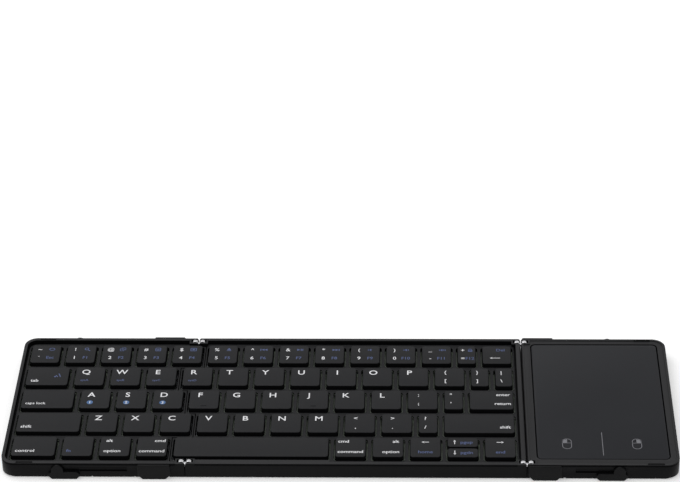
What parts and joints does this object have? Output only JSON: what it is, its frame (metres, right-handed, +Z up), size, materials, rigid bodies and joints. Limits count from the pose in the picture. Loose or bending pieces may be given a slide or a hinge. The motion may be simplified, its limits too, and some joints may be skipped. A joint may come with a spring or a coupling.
{
  "type": "folding keyboard",
  "caption": "Tri-fold low-profile keyboard with touchpad panel, two-pin fold links, scissor keys and a cloth-covered wrap-around cover.",
  "frame": {"origin": "centre of the open keyboard's footprint, on the surface it lies on", "axes": "+X to the right along the key rows, +Y from the front edge to the back edge, +Z up out of the keys"},
  "size_m": [0.3046, 0.0998, 0.0083],
  "materials": {
    "case_black": "satin moulded",
    "frame_charcoal": "satin moulded, slightly lighter than the shells",
    "key_plastic": "fine matt texture with printed legends",
    "cloth_board": "dark heathered woven cloth on a rigid board",
    "touchpad_face": "smooth, slightly glossy",
    "hinge_steel": "bright",
    "plate_steel": "rolled",
    "screw_steel": "dull",
    "membrane_film": "clear printed film",
    "dome_rubber": "soft translucent",
    "bumper_rubber": "soft matt",
    "scissor_plastic": "natural",
    "circuit_board": "solder resist",
    "switch_plastic": "tinned",
    "battery_foil": "foil pouch",
    "port_steel": "nickel plated",
    "flex_film": "amber film"
  },
  "bodies": {
    "root": {"centre_base": "case_black", "centre_frame": "frame_charcoal", "centre_key_plate": "plate_steel", "centre_membrane": "membrane_film", "centre_domes": "dome_rubber", "centre_scissors": "scissor_plastic", "centre_screws": "screw_steel", "centre_cover": "cloth_board", "left_flex_cable": "flex_film", "right_flex_cable": "flex_film"},
    "left_link": {"left_links": "hinge_steel", "left_hinge_pins": "hinge_steel"},
    "left_panel": {"left_base": "case_black", "left_frame": "frame_charcoal", "left_key_plate": "plate_steel", "left_membrane": "membrane_film", "left_domes": "dome_rubber", "left_scissors": "scissor_plastic", "left_screws": "screw_steel", "left_bumpers": "bumper_rubber"},
    "left_spine_body": {"left_spine": "cloth_board"},
    "left_strip_body": {"left_strip": "cloth_board"},
    "left_flap_body": {"left_flap": "cloth_board", "left_knobs": "case_black"},
    "right_link": {"right_links": "hinge_steel", "right_hinge_pins": "hinge_steel"},
    "right_panel": {"right_base": "case_black", "right_frame": "frame_charcoal", "right_bumpers": "bumper_rubber", "touchpad_switch": "switch_plastic", "battery": "battery_foil", "main_board": "circuit_board", "charging_port": "port_steel"},
    "right_spine_body": {"right_spine": "cloth_board"},
    "right_flap_body": {"right_flap": "cloth_board", "right_knobs": "case_black"},
    "touchpad_body": {"touchpad": "touchpad_face", "touchpad_board": "circuit_board"},
    "tab_key_body": {"tab_key": "key_plastic"},
    "caps_lock_key_body": {"caps_lock_key": "key_plastic"},
    "left_shift_key_body": {"left_shift_key": "key_plastic"},
    "control_key_body": {"control_key": "key_plastic"},
    "left_number_keys_body": {"left_number_keys": "key_plastic"},
    "left_upper_keys_body": {"left_upper_keys": "key_plastic"},
    "left_home_keys_body": {"left_home_keys": "key_plastic"},
    "left_lower_keys_body": {"left_lower_keys": "key_plastic"},
    "left_modifier_keys_body": {"left_modifier_keys": "key_plastic"},
    "backspace_key_body": {"backspace_key": "key_plastic"},
    "enter_key_body": {"enter_key": "key_plastic"},
    "right_shift_key_body": {"right_shift_key": "key_plastic"},
    "space_bar_body": {"space_bar": "key_plastic"},
    "arrow_left_key_body": {"arrow_left_key": "key_plastic"},
    "arrow_up_key_body": {"arrow_up_key": "key_plastic"},
    "arrow_down_key_body": {"arrow_down_key": "key_plastic"},
    "arrow_right_key_body": {"arrow_right_key": "key_plastic"},
    "centre_number_keys_body": {"centre_number_keys": "key_plastic"},
    "centre_upper_keys_body": {"centre_upper_keys": "key_plastic"},
    "centre_home_keys_body": {"centre_home_keys": "key_plastic"},
    "centre_lower_keys_body": {"centre_lower_keys": "key_plastic"},
    "centre_modifier_keys_body": {"centre_modifier_keys": "key_plastic"}
  },
  "joints": [
    {"name": "left_fold", "type": "hinge", "parent": "root", "child": "left_link", "pos_m": [-0.0675, 0, 0.0067], "axis": [0, 1, 0], "range_deg": [0, 90], "deforming": ["left_flex_cable"]},
    {"name": "left_panel_hinge", "type": "hinge", "parent": "left_link", "child": "left_panel", "pos_m": [-0.071, 0, 0.0067], "axis": [0, 1, 0], "range_deg": [0, 90]},
    {"name": "left_spine_hinge", "type": "hinge", "parent": "root", "child": "left_spine_body", "pos_m": [-0.0766, 0, 0.0008], "axis": [0, 1, 0], "range_deg": [0, 90]},
    {"name": "left_strip_hinge", "type": "hinge", "parent": "left_spine_body", "child": "left_strip_body", "pos_m": [-0.0919, 0, 0.0008], "axis": [0, 1, 0], "range_deg": [0, 90]},
    {"name": "left_flap_slide", "type": "slide", "parent": "left_panel", "child": "left_flap_body", "axis": [1, 0, 0], "range_m": [0, 0.03]},
    {"name": "right_fold", "type": "hinge", "parent": "root", "child": "right_link", "pos_m": [0.08225, 0, 0.0067], "axis": [0, -1, 0], "range_deg": [0, 90], "deforming": ["right_flex_cable"]},
    {"name": "right_panel_hinge", "type": "hinge", "parent": "right_link", "child": "right_panel", "pos_m": [0.08575, 0, 0.0067], "axis": [0, -1, 0], "range_deg": [0, 90]},
    {"name": "right_spine_hinge", "type": "hinge", "parent": "root", "child": "right_spine_body", "pos_m": [0.0855, 0, 0.0008], "axis": [0, -1, 0], "range_deg": [0, 90]},
    {"name": "right_flap_slide", "type": "slide", "parent": "right_panel", "child": "right_flap_body", "axis": [-1, 0, 0], "range_m": [0, 0.0183]},
    {"name": "touchpad_click", "type": "hinge", "parent": "right_panel", "child": "touchpad_body", "pos_m": [0.1184, 0.0443, 0.0066], "axis": [1, 0, 0], "range_deg": [0, 0.35], "stiffness_Nm_per_rad": 14},
    {"name": "tab_press", "type": "slide", "parent": "left_panel", "child": "tab_key_body", "axis": [0, 0, -1], "range_m": [0, 0.0012], "stiffness_N_per_m": 500, "deforming": ["left_domes", "left_scissors"]},
    {"name": "caps_lock_press", "type": "slide", "parent": "left_panel", "child": "caps_lock_key_body", "axis": [0, 0, -1], "range_m": [0, 0.0012], "stiffness_N_per_m": 500},
    {"name": "left_shift_press", "type": "slide", "parent": "left_panel", "child": "left_shift_key_body", "axis": [0, 0, -1], "range_m": [0, 0.0012], "stiffness_N_per_m": 500},
    {"name": "control_press", "type": "slide", "parent": "left_panel", "child": "control_key_body", "axis": [0, 0, -1], "range_m": [0, 0.0012], "stiffness_N_per_m": 500},
    {"name": "left_number_row_press", "type": "slide", "parent": "left_panel", "child": "left_number_keys_body", "axis": [0, 0, -1], "range_m": [0, 0.0012], "stiffness_N_per_m": 500},
    {"name": "left_upper_row_press", "type": "slide", "parent": "left_panel", "child": "left_upper_keys_body", "axis": [0, 0, -1], "range_m": [0, 0.0012], "stiffness_N_per_m": 500},
    {"name": "left_home_row_press", "type": "slide", "parent": "left_panel", "child": "left_home_keys_body", "axis": [0, 0, -1], "range_m": [0, 0.0012], "stiffness_N_per_m": 500},
    {"name": "left_lower_row_press", "type": "slide", "parent": "left_panel", "child": "left_lower_keys_body", "axis": [0, 0, -1], "range_m": [0, 0.0012], "stiffness_N_per_m": 500},
    {"name": "left_modifier_row_press", "type": "slide", "parent": "left_panel", "child": "left_modifier_keys_body", "axis": [0, 0, -1], "range_m": [0, 0.0012], "stiffness_N_per_m": 500},
    {"name": "backspace_press", "type": "slide", "parent": "root", "child": "backspace_key_body", "axis": [0, 0, -1], "range_m": [0, 0.0012], "stiffness_N_per_m": 500},
    {"name": "enter_press", "type": "slide", "parent": "root", "child": "enter_key_body", "axis": [0, 0, -1], "range_m": [0, 0.0012], "stiffness_N_per_m": 500},
    {"name": "right_shift_press", "type": "slide", "parent": "root", "child": "right_shift_key_body", "axis": [0, 0, -1], "range_m": [0, 0.0012], "stiffness_N_per_m": 500},
    {"name": "space_bar_press", "type": "slide", "parent": "root", "child": "space_bar_body", "axis": [0, 0, -1], "range_m": [0, 0.0012], "stiffness_N_per_m": 500, "deforming": ["centre_domes", "centre_scissors"]},
    {"name": "arrow_left_press", "type": "slide", "parent": "root", "child": "arrow_left_key_body", "axis": [0, 0, -1], "range_m": [0, 0.0012], "stiffness_N_per_m": 500},
    {"name": "arrow_up_press", "type": "slide", "parent": "root", "child": "arrow_up_key_body", "axis": [0, 0, -1], "range_m": [0, 0.0012], "stiffness_N_per_m": 500},
    {"name": "arrow_down_press", "type": "slide", "parent": "root", "child": "arrow_down_key_body", "axis": [0, 0, -1], "range_m": [0, 0.0012], "stiffness_N_per_m": 500},
    {"name": "arrow_right_press", "type": "slide", "parent": "root", "child": "arrow_right_key_body", "axis": [0, 0, -1], "range_m": [0, 0.0012], "stiffness_N_per_m": 500},
    {"name": "centre_number_row_press", "type": "slide", "parent": "root", "child": "centre_number_keys_body", "axis": [0, 0, -1], "range_m": [0, 0.0012], "stiffness_N_per_m": 500},
    {"name": "centre_upper_row_press", "type": "slide", "parent": "root", "child": "centre_upper_keys_body", "axis": [0, 0, -1], "range_m": [0, 0.0012], "stiffness_N_per_m": 500},
    {"name": "centre_home_row_press", "type": "slide", "parent": "root", "child": "centre_home_keys_body", "axis": [0, 0, -1], "range_m": [0, 0.0012], "stiffness_N_per_m": 500},
    {"name": "centre_lower_row_press", "type": "slide", "parent": "root", "child": "centre_lower_keys_body", "axis": [0, 0, -1], "range_m": [0, 0.0012], "stiffness_N_per_m": 500},
    {"name": "centre_modifier_row_press", "type": "slide", "parent": "root", "child": "centre_modifier_keys_body", "axis": [0, 0, -1], "range_m": [0, 0.0012], "stiffness_N_per_m": 500}
  ],
  "couplings": [
    {"joint": "left_panel_hinge", "follows": "left_fold", "ratio": 1},
    {"joint": "left_spine_hinge", "follows": "left_fold", "ratio": 1},
    {"joint": "left_strip_hinge", "follows": "left_fold", "ratio": 1},
    {"joint": "left_flap_slide", "follows": "left_fold", "m_per_rad": 0.019098},
    {"joint": "right_panel_hinge", "follows": "right_fold", "ratio": 1},
    {"joint": "right_spine_hinge", "follows": "right_fold", "ratio": 1},
    {"joint": "right_flap_slide", "follows": "right_fold", "m_per_rad": 0.01165}
  ]
}
